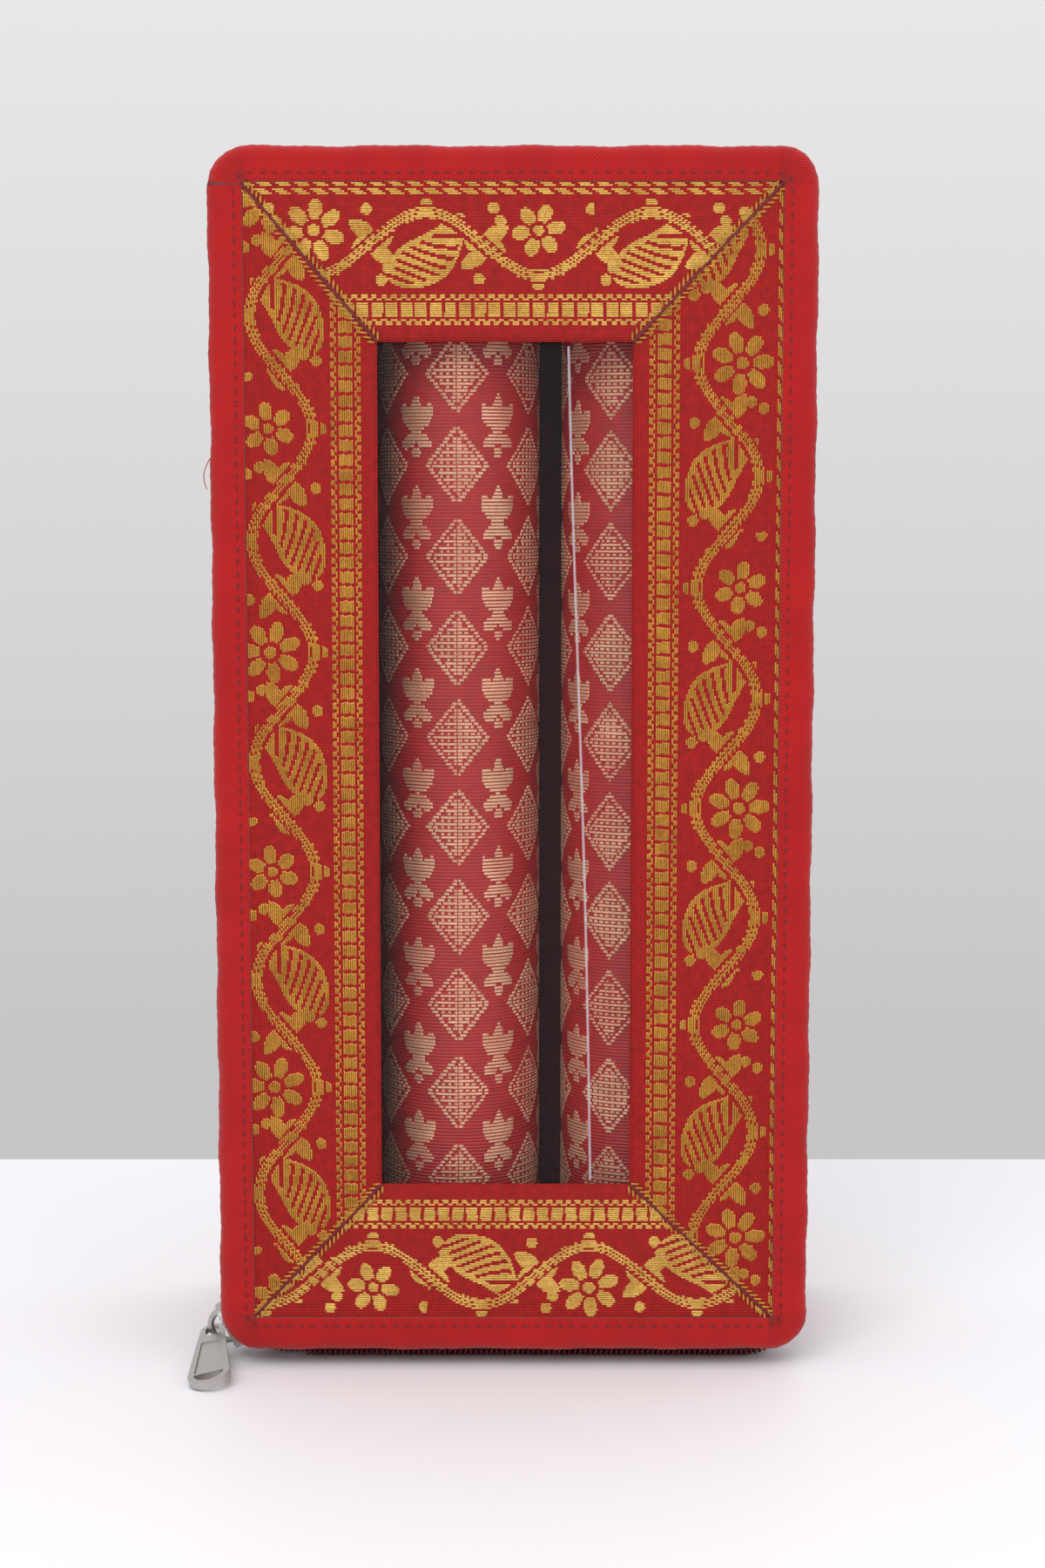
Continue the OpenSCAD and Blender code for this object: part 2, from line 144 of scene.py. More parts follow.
class Shade:
    """One material's node tree."""
    def __init__(self, name):
        self.material = bpy.data.materials.new(name)
        self.material.use_nodes = True
        self.tree = self.material.node_tree
        self.surface = self.tree.nodes["Principled BSDF"]

    def put(self, socket, v):
        if isinstance(v, Value):
            self.tree.links.new(v.out, socket)
        else:
            socket.default_value = v

    def node(self, kind, settings=None, inputs=None, out=0):
        node = self.tree.nodes.new("ShaderNode" + kind)
        for key, v in (settings or {}).items():
            setattr(node, key, v)
        for key, v in (inputs or {}).items():
            self.put(node.inputs[key], v)
        return Value(self, node.outputs[out])

    def mix(self, share, a, b):
        return self.node("Mix", {"data_type": "RGBA"}, {0: share, 6: a, 7: b}, 2)

    def place(self):
        """Place on the piece, in millimetres."""
        at = self.node("TexCoord", out=3)
        return self.node("VectorMath", {"operation": "SCALE"}, {0: at, 3: 1000.0})

    def split(self, vector):
        node = self.tree.nodes.new("ShaderNodeSeparateXYZ")
        self.put(node.inputs[0], vector)
        return [Value(self, o) for o in node.outputs]

    def cloth(self):
        """Place along and across the cloth, in millimetres."""
        return self.split(self.node("Attribute", {"attribute_name": "cloth"}, out=1))[:2]

    def noise(self, scale, detail=3.0, at=None):
        return self.node("TexNoise", inputs={"Vector": at or self.place(), "Scale": scale, "Detail": detail})

    def finish(self, colour, rough, metal=0.0, height=None, depth=0.1, **more):
        self.put(self.surface.inputs["Base Color"], colour)
        self.put(self.surface.inputs["Roughness"], rough)
        self.put(self.surface.inputs["Metallic"], metal)
        for key, v in more.items():
            self.put(self.surface.inputs[key.replace("_", " ")], v)
        if height is not None:
            bump = self.node("Bump", inputs={"Strength": 1.0, "Distance": depth / 1000, "Height": height})
            self.put(self.surface.inputs["Normal"], bump)
        return self.material


SRGB_KNEE = 0.04045


def rgb(r, g, b):
    """An sRGB colour, 0 to 255, as the linear colour a shader takes."""
    shares = [c / 255 for c in (r, g, b)]
    return tuple(c / 12.92 if c < SRGB_KNEE else ((c + 0.055) / 1.055) ** 2.4 for c in shares) + (1.0,)


def thread_cloth(name, colour, light, pitch=0.5, rough=0.8, depth=0.05, slant=0.0):
    """Plain or twill cloth: raised threads across two directions of the piece's own cloth place."""
    s = Shade(name)
    along, across = s.cloth()
    warp = ((along + across * slant) * (2 * math.pi / pitch)).sin()
    weft = (across * (2 * math.pi / pitch)).sin()
    height = warp * 0.7 + weft * (0.3 if slant == 0 else 0.08)
    blotch = s.noise(0.09, 4.0)
    lift = (warp * 0.5 + 0.5) * 0.45 + blotch * 0.6 - 0.12
    return s.finish(s.mix(lift, colour, light), rough, height=height, depth=depth,
                    Specular_IOR_Level=0.25, Sheen_Weight=0.15)


BINDING = thread_cloth("binding_twill", rgb(138, 2, 3), rgb(196, 9, 12), 1.0, 0.75, 0.12, 0.9)
TAPE = thread_cloth("tape_cloth", rgb(96, 10, 18), rgb(134, 20, 28), 0.8, 0.85, 0.08)
HINGE = thread_cloth("hinge_cloth", rgb(128, 12, 18), rgb(168, 28, 32), 0.7, 0.8, 0.06)


def plain(name, colour, rough, metal=0.0, grain=0.0, **more):
    s = Shade(name)
    cloud = s.noise(1.5, 5.0)
    dark = tuple(c * 0.75 for c in colour[:3]) + (1.0,)
    return s.finish(s.mix(cloud, dark, colour), rough, metal, height=cloud if grain else None,
                    depth=grain, **more)


CARD = plain("grey_card", rgb(176, 158, 128), 0.9, grain=0.1)
WADDING = plain("white_wadding", rgb(228, 224, 214), 0.95, grain=0.4)
COIL = plain("zip_coil", rgb(108, 12, 26), 0.4, grain=0.02)
STITCH = plain("stitch_thread", rgb(104, 8, 12), 0.7)
LOOSE = plain("loose_thread", rgb(160, 20, 24), 0.7)
NICKEL = plain("nickel_plate", rgb(196, 192, 188), 0.3, 1.0, grain=0.015)


def gold_thread(name, dull, bright):
    """Metal-wrapped thread: fine slubs along each float and uneven tone from float to float."""
    s = Shade(name)
    fine = s.noise(2.2, 2.0)
    broad = s.noise(0.16, 3.0)
    tone = fine * 0.9 + broad * 0.8 - 0.4
    return s.finish(s.mix(tone, dull, bright), 0.42, 0.55, height=fine, depth=0.06)


# One gold thread in two copies: the level ribbons' copy is painted brighter, a painted highlight, and the
# upright ribbons' copy is painted darker, painted shade, for how light catches level and upright thread. The
# mitre seams take the darker copy.
GOLD_ACROSS_PAINTED_HIGHLIGHT = gold_thread("gold_thread_level_painted_highlight", rgb(156, 106, 30), rgb(250, 218, 120))
GOLD_UP_PAINTED_SHADE = gold_thread("gold_thread_upright_painted_shade", rgb(126, 80, 20), rgb(222, 172, 72))
PALE_GOLD = gold_thread("pale_gold_thread", rgb(176, 118, 86), rgb(240, 206, 172))


# Bindings: a bias strip of red twill, folded over the raw edge of the lid and of the back.
# Its outer fold puffs a little, and one row of stitches catches its inner edge down.
# One path round a rounded rectangle serves the bindings, the zip and the tape.
def ring_path(outline, parts, step):
    """Points and outward directions round an outline, anticlockwise seen from the lid side."""
    w, h, low, r = outline
    cx, cy, mid = w / 2 - r, h / 2 - r, low + h / 2
    points, normals = [], []
    for kind, turn, start, end in parts:
        a = math.radians(turn)
        ca, sa = math.cos(a), math.sin(a)
        if kind == "side":
            out = (w if turn % 180 == 0 else h) / 2
            for t in np.linspace(start, end, max(2, int((end - start) / step)), endpoint=False):
                points.append((out * ca - t * sa, out * sa + t * ca + mid))
                normals.append((ca, sa))
        else:
            sx = 1 if turn in (0, 270) else -1
            sy = 1 if turn < 180 else -1
            for f in np.linspace(0, 90, max(6, int(r * 1.57 / step)), endpoint=False):
                n = (math.cos(a + math.radians(f)), math.sin(a + math.radians(f)))
                points.append((sx * cx + r * n[0], sy * cy + r * n[1] + mid))
                normals.append(n)
    return np.array(points), np.array(normals)


def half_run(outline, turn):
    return (outline[1] if turn % 180 == 0 else outline[0]) / 2 - outline[3]


def whole_ring(outline):
    parts = []
    for turn in (180, 270, 0, 90):
        half = half_run(outline, turn)
        parts += [("side", turn, -half, half), ("corner", turn, 0, 90)]
    return parts


def along_path(points):
    """How far along the path each point lies."""
    gaps = np.linalg.norm(np.diff(points, axis=0), axis=1)
    return np.concatenate([[0], np.cumsum(gaps)])


def sweep(name, path, profile, material, closed, wobble=None):
    """Runs a closed profile (out from the path, depth) along the path."""
    points, normals = path
    n, m = len(points), len(profile)
    length = along_path(points)
    prof = np.array(profile, float)
    girth = along_path(prof)
    verts, cloth = [], []
    for i in range(n):
        for j in range(m):
            out, depth = prof[j]
            if wobble:
                out = out + wobble(length[i], out)
            verts.append((points[i][0] + normals[i][0] * out, points[i][1] + normals[i][1] * out, depth))
            cloth.append((length[i], girth[j]))
    faces = []
    for i in range(n if closed else n - 1):
        k = (i + 1) % n
        for j in range(m):
            l = (j + 1) % m
            faces.append((i * m + j, k * m + j, k * m + l, i * m + l))
    if not closed:
        faces.append(tuple(range(m)))
        faces.append(tuple((n - 1) * m + j for j in reversed(range(m))))
    return piece(name, verts, faces, material, cloth=cloth)


BINDING_T, BINDING_W, PUFF_W, FLAP_T = 4.9, 9.0, 6.2, 0.8
FLAP_RUN, FLAP_RISE, PANEL_EDGE = 2.6, 0.18, -4.8


def binding_profile(face, inward, inner_w):
    """Puffed outer fold, then a flap on the face and one inside. face is the outer depth."""
    back = face + inward * BINDING_T
    flap = [(-BINDING_W + f * FLAP_RUN, face + inward * FLAP_RISE * (1 - f)) for f in np.linspace(0, 1, 7)[1:]]
    puff = [(-PUFF_W / 2 + PUFF_W / 2 * math.sin(a), (face + back) / 2 - inward * BINDING_T / 2 * math.cos(a))
            for a in np.linspace(0, math.pi, 13)]
    return [(-BINDING_W, face + inward * FLAP_T)] + flap + puff + [
        (-PUFF_W, back), (-inner_w, back - inward * 0.1), (-inner_w, back - inward * FLAP_T),
        (PANEL_EDGE, back - inward * (FLAP_T + 0.05)), (PANEL_EDGE, face + inward * (FLAP_T + 0.05))]


def soft_wave(length, out):
    """The binding puffs and dips a little along its length, most at its outer fold."""
    grip = max(0.0, min(1.0, (out + 6.6) / 6.6))
    lump = 0.16 * math.sin(length * 0.19) + 0.1 * math.sin(length * 0.47 + 1.3) + 0.07 * math.sin(length * 1.9)
    return (lump - 0.22) * grip


STITCH_INSET, STITCH_PITCH, STITCH_LONG, STITCH_THICK = 6.9, 3.0, 2.2, 0.42


def stitches(name, outline, depth, up, body):
    """A row of sewn stitches, each a small rounded bar sunk at both ends."""
    w, h, low, r = outline
    inset = STITCH_INSET
    inner = (w - 2 * inset, h - 2 * inset, low + inset, max(1.0, r - inset))
    points, _ = ring_path(inner, whole_ring(inner), 0.4)
    length = along_path(points)
    verts, faces = [], []
    at = 0.0
    while at < length[-1] - STITCH_LONG:
        i = np.searchsorted(length, at)
        k = np.searchsorted(length, at + STITCH_LONG * random.uniform(0.9, 1.05))
        k = min(k, len(points) - 1)
        a, b = points[i], points[k]
        side = np.array([-(b - a)[1], (b - a)[0]])
        side = side / (np.linalg.norm(side) + 1e-9) * STITCH_THICK / 2
        base = len(verts)
        for f, spread, high in ((0, 0.5, -0.1), (0.25, 1.0, 0.24), (0.75, 1.0, 0.26), (1, 0.5, -0.1)):
            c = a + (b - a) * f
            for q in (-1, 0, 1):
                rise = high if high < 0 or q == 0 else 0.0
                verts.append((c[0] + side[0] * q * spread, c[1] + side[1] * q * spread, depth + up * rise))
        faces += [tuple(base + v for v in quad) for quad in turned(grid(4, 3))]
        at += STITCH_PITCH
    o = piece(name, verts, faces, STITCH)
    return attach(o, body)


for side, outline, face, inward, inner_w in (("lid", LID, BOX_D, -1, 6.8), ("back", BACK, 0.0, 1, 5.6)):
    body = "lid" if side == "lid" else "box"
    path = ring_path(outline, whole_ring(outline), 1.3)
    profile = binding_profile(face, inward, inner_w)
    bind = sweep(side + "_binding_cloth", path, profile, BINDING, True, soft_wave)
    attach(bind, body)
    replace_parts(bind, side + "_binding")
    stitches(side + "_binding_stitches", outline, face, -inward, body)


# Woven ribbons: four lengths of zari ribbon frame the window, each cut on the mitres.
# The ground is red and ribbed, and the gold is metal-wrapped thread laid over it row by row,
# so each run of gold is a raised float.
def ribbon_ground():
    s = Shade("ribbon_ground")
    along, across = s.cloth()
    rib = (across * (2 * math.pi / 0.55)).sin()
    end = (along * (2 * math.pi / 0.8)).sin()
    tone = rib * 0.22 + s.noise(0.5, 3.0) * 0.9 - 0.1
    return s.finish(s.mix(tone, rgb(122, 4, 2), rgb(180, 16, 8)), 0.7,
                    height=rib * 0.8 + end * 0.3, depth=0.08, Specular_IOR_Level=0.3)


GROUND = ribbon_ground()
REPEAT, VINE_SWING = 110.0, 7.6
# leaves off the vine in each quarter repeat: place along it, turn, length and half width
SPRAY = ((0.2, 2.2, 7.6, 2.2), (0.84, 0.9, 8.4, 2.3), (0.98, -0.5, 8.0, 2.0), (0.06, -2.6, 8.2, 2.0))


def petals(x, y, reach, count, turn=0.0):
    """A flower of separate petals round a ringed centre."""
    r, a = np.hypot(x, y), np.arctan2(y, x) + turn
    swell = np.abs(np.cos(a * count / 2))
    leaf = (r < reach * (0.35 + 0.65 * swell ** 0.7)) & (r > reach * 0.34) & (swell > 0.3)
    return leaf | (r < reach * 0.2)


def leaf(x, y, long, wide, turn):
    c, s = math.cos(turn), math.sin(turn)
    u, v = x * c + y * s, -x * s + y * c
    t = np.clip(u / long, 0, 1)
    return (u > 0) & (u < long) & (np.abs(v) < wide * np.sin(math.pi * t) ** 0.8)


def paisley(x, y, turn, flip):
    """A striped teardrop with an outline, its tail curling over."""
    c, s = math.cos(turn), math.sin(turn)
    u, v = (x * c + y * s) * 0.8, (-x * s + y * c) * flip * 0.74
    v = v - 0.045 * np.clip(u, 0, 20) ** 2
    t = (u + 8.2) / 18.5
    share = np.clip(t, 0, 1)
    half = np.where((t > 0) & (t < 1), 5.4 * np.sqrt(share) * (1 - share) ** 0.62 * 1.75, -1.0)
    shape = np.abs(v) < half
    rim = np.abs(v) > half - 0.95
    stripe = ((u * 0.8 + v * 0.9) / 1.9) % 1 < 0.62
    return shape & (rim | stripe)


def border_motif(u, q):
    """Gold where True; u along the ribbon, q from the window edge, both in millimetres."""
    gold = np.zeros(u.shape, bool)
    # inner rows: dashes, beads, dashes
    gold |= (q > 4.1) & (q < 5.5) & ((u / 2.4 + (q > 4.8) * 0.5) % 1 < 0.62)
    gold |= (q > 6.1) & (q < 9.4) & (u / 3.6 % 1 < 0.8)
    gold |= (q > 10.0) & (q < 11.4) & ((u / 2.4 + (q > 10.7) * 0.5) % 1 < 0.62)
    # outer rows of stepped dashes
    for base in (35.4, 37.5):
        gold |= (q > base) & (q < base + 1.7) & (((u + (q - base) * 1.6) / 4.6) % 1 < 0.66)
    # vine field: a thick vine in S curves, a striped paisley under each crest, a flower over each hollow
    y = q - 23.6
    field = np.abs(y) < 10.9
    w = u % REPEAT
    half = REPEAT / 4
    wave = VINE_SWING * np.sin(math.pi * w / half)
    slope = np.sqrt(1 + (VINE_SWING * math.pi / half * np.cos(math.pi * w / half)) ** 2)
    vine = (np.abs(y - wave) < 1.35 * slope) & ((y - wave) / slope % 0.9 < 0.72)
    art = np.zeros(u.shape, bool)
    for k in (0, 2):
        art |= paisley(w - (k + 0.5) * half, y + 3.9, 0.4, 1)
    for k in (1, 3):
        cx, reach, count = (k + 0.5) * half, 7.8 if k == 1 else 6.6, 7 if k == 1 else 6
        art |= petals(w - cx, y - 3.3, reach, count, 0.3 * k)
    for k in range(4):
        side = 1 if k % 2 == 0 else -1
        for off, turn, long, wide in SPRAY:
            cx = (k + off) * half
            for wrap in (0, REPEAT):
                cy = VINE_SWING * math.sin(math.pi * cx / half)
                art |= leaf(w - cx + wrap, (y - cy) * side, long, wide, -turn)
        for bx, by in ((0.1, -8.6), (0.16, -5.6), (0.97, -8.4), (0.5, 9.9)):
            cx = (k + bx) * half
            art |= np.hypot(w - cx, (y - by * side) * 1.05) < 1.45
    art &= np.abs(y - wave) > 1.85 * slope
    art |= vine
    return gold | (art & field)


def floats(name, rows, to_place, gold, material, body, pitch, high, cell=0.42, most=40.0):
    """Gold floats. rows gives (row, start, end); each run of gold cells becomes one raised thread."""
    verts, faces, cloth = [], [], []
    half = pitch * (0.44 if pitch < 0.6 else 0.38)
    for v, start, end in rows:
        u = np.arange(start, end, cell)
        if len(u) < 3:
            continue
        on = gold(u, np.full(u.shape, v))
        edges = np.flatnonzero(np.diff(np.concatenate([[0], on.astype(int), [0]])))
        for a, b in zip(edges[::2], edges[1::2]):
            if b - a < 2:
                continue
            u0, u1 = u[a] - cell * 0.4, u[b - 1] + cell * 0.4
            cuts = max(1, int(math.ceil((u1 - u0) / most)))
            us = [u0, u0 + 0.25] + [u0 + (u1 - u0) * k / cuts for k in range(1, cuts)] + [u1 - 0.25, u1]
            lift = high * random.uniform(0.8, 1.15)
            shift = random.uniform(-0.05, 0.05) * pitch
            base = len(verts)
            for i, x in enumerate(us):
                z = 0.0 if i in (0, len(us) - 1) else lift
                for dv, dz in ((-half, 0.0), (-half * 0.45, z), (half * 0.45, z), (half, 0.0)):
                    verts.append(to_place(x, v + shift + dv, dz))
                    cloth.append((x, v + dv))
            for i in range(len(us) - 1):
                for j in range(3):
                    k = base + i * 4 + j
                    faces.append((k, k + 4, k + 5, k + 1))
    o = piece(name, verts, faces, material, smooth=False, cloth=cloth)
    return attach(o, body)


WL, WR, WB, WT = WINDOW
UNDER = 4.2   # the ribbons end this far in from the lid's outline, under the binding
PL, PR, PB, PT = -BOX_W / 2 + UNDER, BOX_W / 2 - UNDER, LID_LIFT + UNDER, BOX_H - UNDER
# The level ribbons carry the gold copy painted brighter and the upright ribbons the copy painted darker:
# painted highlight and painted shade.
RIBBONS = {
    "top": ((WL, WT), (WR, WT), (PL, PT), (PR, PT), GOLD_ACROSS_PAINTED_HIGHLIGHT),
    "bottom": ((WL, WB), (WR, WB), (PL, PB), (PR, PB), GOLD_ACROSS_PAINTED_HIGHLIGHT),
    "left": ((WL, WB), (WL, WT), (PL, PB), (PL, PT), GOLD_UP_PAINTED_SHADE),
    "right": ((WR, WB), (WR, WT), (PR, PB), (PR, PT), GOLD_UP_PAINTED_SHADE),
}
# where in the woven repeat each ribbon was cut, a shift that keeps every place along it positive,
# and the spacing and height of its gold rows
STARTS = {"top": 20.0, "bottom": 62.0, "left": 8.0, "right": 47.0}
PLACE_SHIFT, ROW_PITCH, FLOAT_HIGH = 400, 0.5, 0.16
for side, (in_a, in_b, out_a, out_b, gold_with_painted_light) in RIBBONS.items():
    level = side in ("top", "bottom")
    width = abs((out_a[1] - in_a[1]) if level else (out_a[0] - in_a[0]))
    outward = 1 if side in ("top", "right") else -1
    edge = in_a[1] if level else in_a[0]
    ax = 0 if level else 1

    def on_lid(u, q, z, level=level, edge=edge, outward=outward):
        sag = -0.25 * math.exp(-(q / 3.0) ** 2) + 0.12 * math.sin(u * 0.045 + q * 0.06)
        across = edge + outward * q
        return (u, across, RIBBON_FACE + z + sag) if level else (across, u, RIBBON_FACE + z + sag)

    def span(q, in_a=in_a, in_b=in_b, out_a=out_a, out_b=out_b, width=width, ax=ax):
        f = q / width
        return in_a[ax] + (out_a[ax] - in_a[ax]) * f, in_b[ax] + (out_b[ax] - in_b[ax]) * f

    verts, cloth = [], []
    lines, steps = 24, 90
    for i in range(lines + 1):
        q = width * i / lines
        lo, hi = span(q)
        for j in range(steps + 1):
            u = lo + (hi - lo) * j / steps
            verts.append(on_lid(u, q, 0.0))
            cloth.append((u, q))
    top = len(verts)
    verts += [(x, y, z - RIBBON_T) for x, y, z in verts]
    cloth += cloth
    faces = grid(lines + 1, steps + 1)
    faces += [tuple(top + v for v in reversed(quad)) for quad in faces]
    faces += [(top + j, top + j + 1, j + 1, j) for j in range(steps)]
    ground = piece(side + "_ribbon", verts, faces, GROUND, cloth=cloth)
    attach(ground, "lid")
    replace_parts(ground, "border_" + side + "_ribbon")
    rows = []
    q = 0.3
    while q < width - 0.3:
        lo, hi = span(q)
        rows.append((q, lo + 0.2, hi - 0.2))
        q += ROW_PITCH
    start = STARTS[side]
    floats(side + "_ribbon_gold", rows, on_lid, lambda u, q, s=start: border_motif(u + PLACE_SHIFT + s, q),
           gold_with_painted_light, "lid", ROW_PITCH, FLOAT_HIGH)


# Mitre seams: the ribbons' ends are folded under and meet from window corner to lid corner.
# They are overcast to each other in gold thread over the two folded edges.
MITRES = (((WL, WT), (PL, PT)), ((WR, WT), (PR, PT)), ((WL, WB), (PL, PB)), ((WR, WB), (PR, PB)))
OVERCAST_PITCH = 1.5


def mitre_seams():
    verts, faces = [], []
    for (ax, ay), (bx, by) in MITRES:
        way = np.array((bx - ax, by - ay))
        long = np.linalg.norm(way)
        way /= long
        turn = np.array((-way[1], way[0]))
        for k in range(int((long - 6) / OVERCAST_PITCH)):
            for flip in (-1, 1):
                c = np.array((ax, ay)) + way * (1.0 + k * OVERCAST_PITCH) + turn * flip * 1.15
                d = (way * 0.75 + turn * flip * 0.65) * random.uniform(0.85, 1.1)
                e = turn * flip * 0.28
                base = len(verts)
                for f, z in ((-1, -0.1), (-0.5, 0.22), (0.5, 0.24), (1, -0.1)):
                    for g in (-1, 1):
                        at = c + d * f + e * g
                        verts.append((at[0], at[1], RIBBON_FACE + 0.12 + z))
                for f in range(3):
                    a = base + 2 * f
                    faces.append((a, a + 1, a + 3, a + 2))
    o = piece("mitre_seams", verts, faces, GOLD_UP_PAINTED_SHADE, smooth=False)
    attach(o, "lid")


def mitre_folds():
    verts, faces = [], []
    for (ax, ay), (bx, by) in MITRES:
        for k in range(41):
            f = k / 40
            x, y = ax + (bx - ax) * f, ay + (by - ay) * f
            side = 0.28 if (bx - ax) * (by - ay) > 0 else -0.28
            base = len(verts)
            for g, z in ((-1.2, -0.05), (-0.4, 0.32), (0.4, 0.32), (1.2, -0.05)):
                verts.append((x + g * 0.28, y - g * side, RIBBON_FACE + z))
            if k:
                for j in range(3):
                    a = base - 4 + j
                    faces.append((a, a + 4, a + 5, a + 1))
    o = piece("mitre_folds", verts, faces, STITCH)
    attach(o, "lid")


mitre_seams()
mitre_folds()


# Window: one clear flexible plastic sheet, sewn in behind the ribbons.
# It bows inwards a little at its middle, and one soft crease runs up its right half, shaped in the sheet and
# with a whitish strip along it as a painted highlight.
def clear_sheet():
    return Shade("clear_sheet").finish(rgb(226, 228, 236), 0.14, Alpha=0.014, Specular_IOR_Level=0.5, IOR=1.45)


def hump(f):
    """0 at both ends of the stretch 0 to 1 and beyond them, 1 at its middle."""
    return max(0.0, math.sin(math.pi * min(1, max(0, f))))


SHEET_MARGIN, SHEET_DEPTH, CREASE_X, CREASE_LEAN = 10.0, 74.1, 19.5, 5.5


def window():
    verts = []
    nx, ny = 60, 110
    for i in range(ny + 1):
        for j in range(nx + 1):
            x = WL - SHEET_MARGIN + (WR - WL + 2 * SHEET_MARGIN) * j / nx
            y = WB - SHEET_MARGIN + (WT - WB + 2 * SHEET_MARGIN) * i / ny
            fx, fy = (x - WL) / (WR - WL), (y - WB) / (WT - WB)
            inside = hump(fx) * hump(fy)
            crease = 0.35 * math.exp(-((x - CREASE_X + CREASE_LEAN * fy) / 0.7) ** 2) * min(1.0, inside * 6)
            bow = 1.1 * inside ** 0.6
            verts.append((x, y, SHEET_DEPTH - bow + crease + 0.15 * math.sin(y * 0.05) * inside))
    # The crease is real, shaped in the sheet above; this whitish half-clear strip along it is a painted
    # highlight.
    fold = []
    for i in range(61):
        fy = i / 60
        x = CREASE_X - CREASE_LEAN * fy + 0.4 * math.sin(fy * 5)
        for side in (-0.3, 0.3):
            depth = SHEET_DEPTH + 0.2 - 0.9 * math.sin(math.pi * fy) ** 0.6
            fold.append((x + side, WB + 1 + (WT - WB - 2) * fy, depth))
    s = Shade("sheet_crease_painted_highlight")
    crease = piece("window_crease_painted_highlight", fold, grid(61, 2), s.finish(rgb(214, 216, 226), 0.3, Alpha=0.38))
    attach(crease, "lid")
    o = piece("clear_window", verts, grid(ny + 1, nx + 1), clear_sheet())
    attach(o, "lid")
    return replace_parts(o, "window_sheet")


window()


# Zip: two coils of bent nylon filament on woven tape, round three sides of the case.
# The wall half of the zip turns all four corners. The lid half starts past the lower left corner.
def zip_parts(half):
    run_y, run_x = half_run(ZIP, 0), half_run(ZIP, 90)
    round_three = [("corner", 270, 0, 90), ("side", 0, -run_y, run_y), ("corner", 0, 0, 90),
                   ("side", 90, -run_x, run_x), ("corner", 90, 0, 90)]
    if half == "lid":
        return [("side", 270, -run_x + 5.2, run_x)] + round_three
    return [("side", 180, run_y - 8, run_y), ("corner", 180, 0, 90), ("side", 270, -run_x, run_x)] \
        + round_three + [("side", 180, -run_y, -run_y + 8)]


COIL_PITCH, COIL_STEPS, FILAMENT_SIDES, FILAMENT_R = 1.35, 9, 5, 0.36


def coil(name, parts, depth, body, node):
    """One continuous filament, looped round the edge of the tape."""
    points, normals = ring_path(ZIP, parts, 0.25)
    length = along_path(points)
    centre = []
    for k in range(int((length[-1] - 1) / COIL_PITCH * COIL_STEPS)):
        s = 0.5 + k * COIL_PITCH / COIL_STEPS
        i = min(len(points) - 1, int(np.searchsorted(length, s)))
        a = 2 * math.pi * k / COIL_STEPS
        out = -COIL_T / 2 + (COIL_T / 2 - FILAMENT_R) * math.cos(a)
        d = depth + (COIL_W / 2 - FILAMENT_R) * math.sin(a)
        centre.append((points[i][0] + normals[i][0] * out, points[i][1] + normals[i][1] * out, d))
    verts = []
    c = np.array(centre)
    way = np.gradient(c, axis=0)
    way /= np.linalg.norm(way, axis=1)[:, None] + 1e-9
    for k in range(len(c)):
        ref = np.array((0.3, 0.2, 1.0))
        u = np.cross(way[k], ref)
        u /= np.linalg.norm(u) + 1e-9
        v = np.cross(way[k], u)
        for j in range(FILAMENT_SIDES):
            b = 2 * math.pi * j / FILAMENT_SIDES
            verts.append(tuple(c[k] + FILAMENT_R * (u * math.cos(b) + v * math.sin(b))))
    o = piece(name, verts, grid(len(c), FILAMENT_SIDES, True), COIL)
    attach(o, body)
    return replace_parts(o, node)


def tape_profile(near, way, flat, far):
    """Flat beside the coil, then slanting in to the wall or the lid at depth far."""
    return [(-COIL_T, near), (-COIL_T, near + way * flat), (-WALL_INSET + 0.05, far), (-WALL_INSET - 0.7, far),
            (-COIL_T - TAPE_T, near + way * (flat + 0.3)), (-COIL_T - TAPE_T, near)]


coil("body_zip_coil", zip_parts("body"), ZIP_DEPTH - COIL_GAP / 2 - COIL_W / 2, "box", "zip_coil_body")
coil("lid_zip_coil", zip_parts("lid"), ZIP_DEPTH + COIL_GAP / 2 + COIL_W / 2, "lid", "zip_coil_lid")
for half, near, way, flat, far, body in (("body", ZIP_DEPTH - 0.15, -1, 5.85, TAPE_ON_WALL, "box"),
                                         ("lid", ZIP_DEPTH + 0.15, 1, 3.45, TAPE_ON_LID, "lid")):
    path = ring_path(ZIP, zip_parts(half), 1.3)
    tape = sweep(half + "_zip_tape", path, tape_profile(near, way, flat, far), TAPE, False)
    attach(tape, body)
    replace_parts(tape, "zip_tape_" + half)


# Cloth hinge: one strip of red cloth along the left side, where the case has no zip.
# It is sewn to the wall below and under the lid's binding above, and folds between them.
run = half_run(ZIP, 180)
strip_path = ring_path(ZIP, [("side", 180, -run + 9, run - 9)], 2.0)
outer = [(-WALL_INSET + 0.1, TAPE_ON_WALL), (-3.2, 56.5), (-0.5, 60.8), (-0.1, 63.0),
         (-0.6, 65.2), (-3.4, 68.2), (-WALL_INSET, TAPE_ON_LID)]
inner = [(x - 0.8, d) for x, d in reversed(outer)]
hinge = sweep("hinge_strip", strip_path, outer + inner, HINGE, False)
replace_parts(hinge, "hinge_cloth", "lid_hinge_cloth")
at_fold = stand([(-75.2, 150.0, 61.4), (-75.2, 150.0, 64.6)])
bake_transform(hinge)


# Walls and back: card panels wrapped in red brocade with small gold buds.
# Plain dark red cloth lines the inside, and the cover's top edge goes under the zip tape.
BUD_PITCH = 14.0


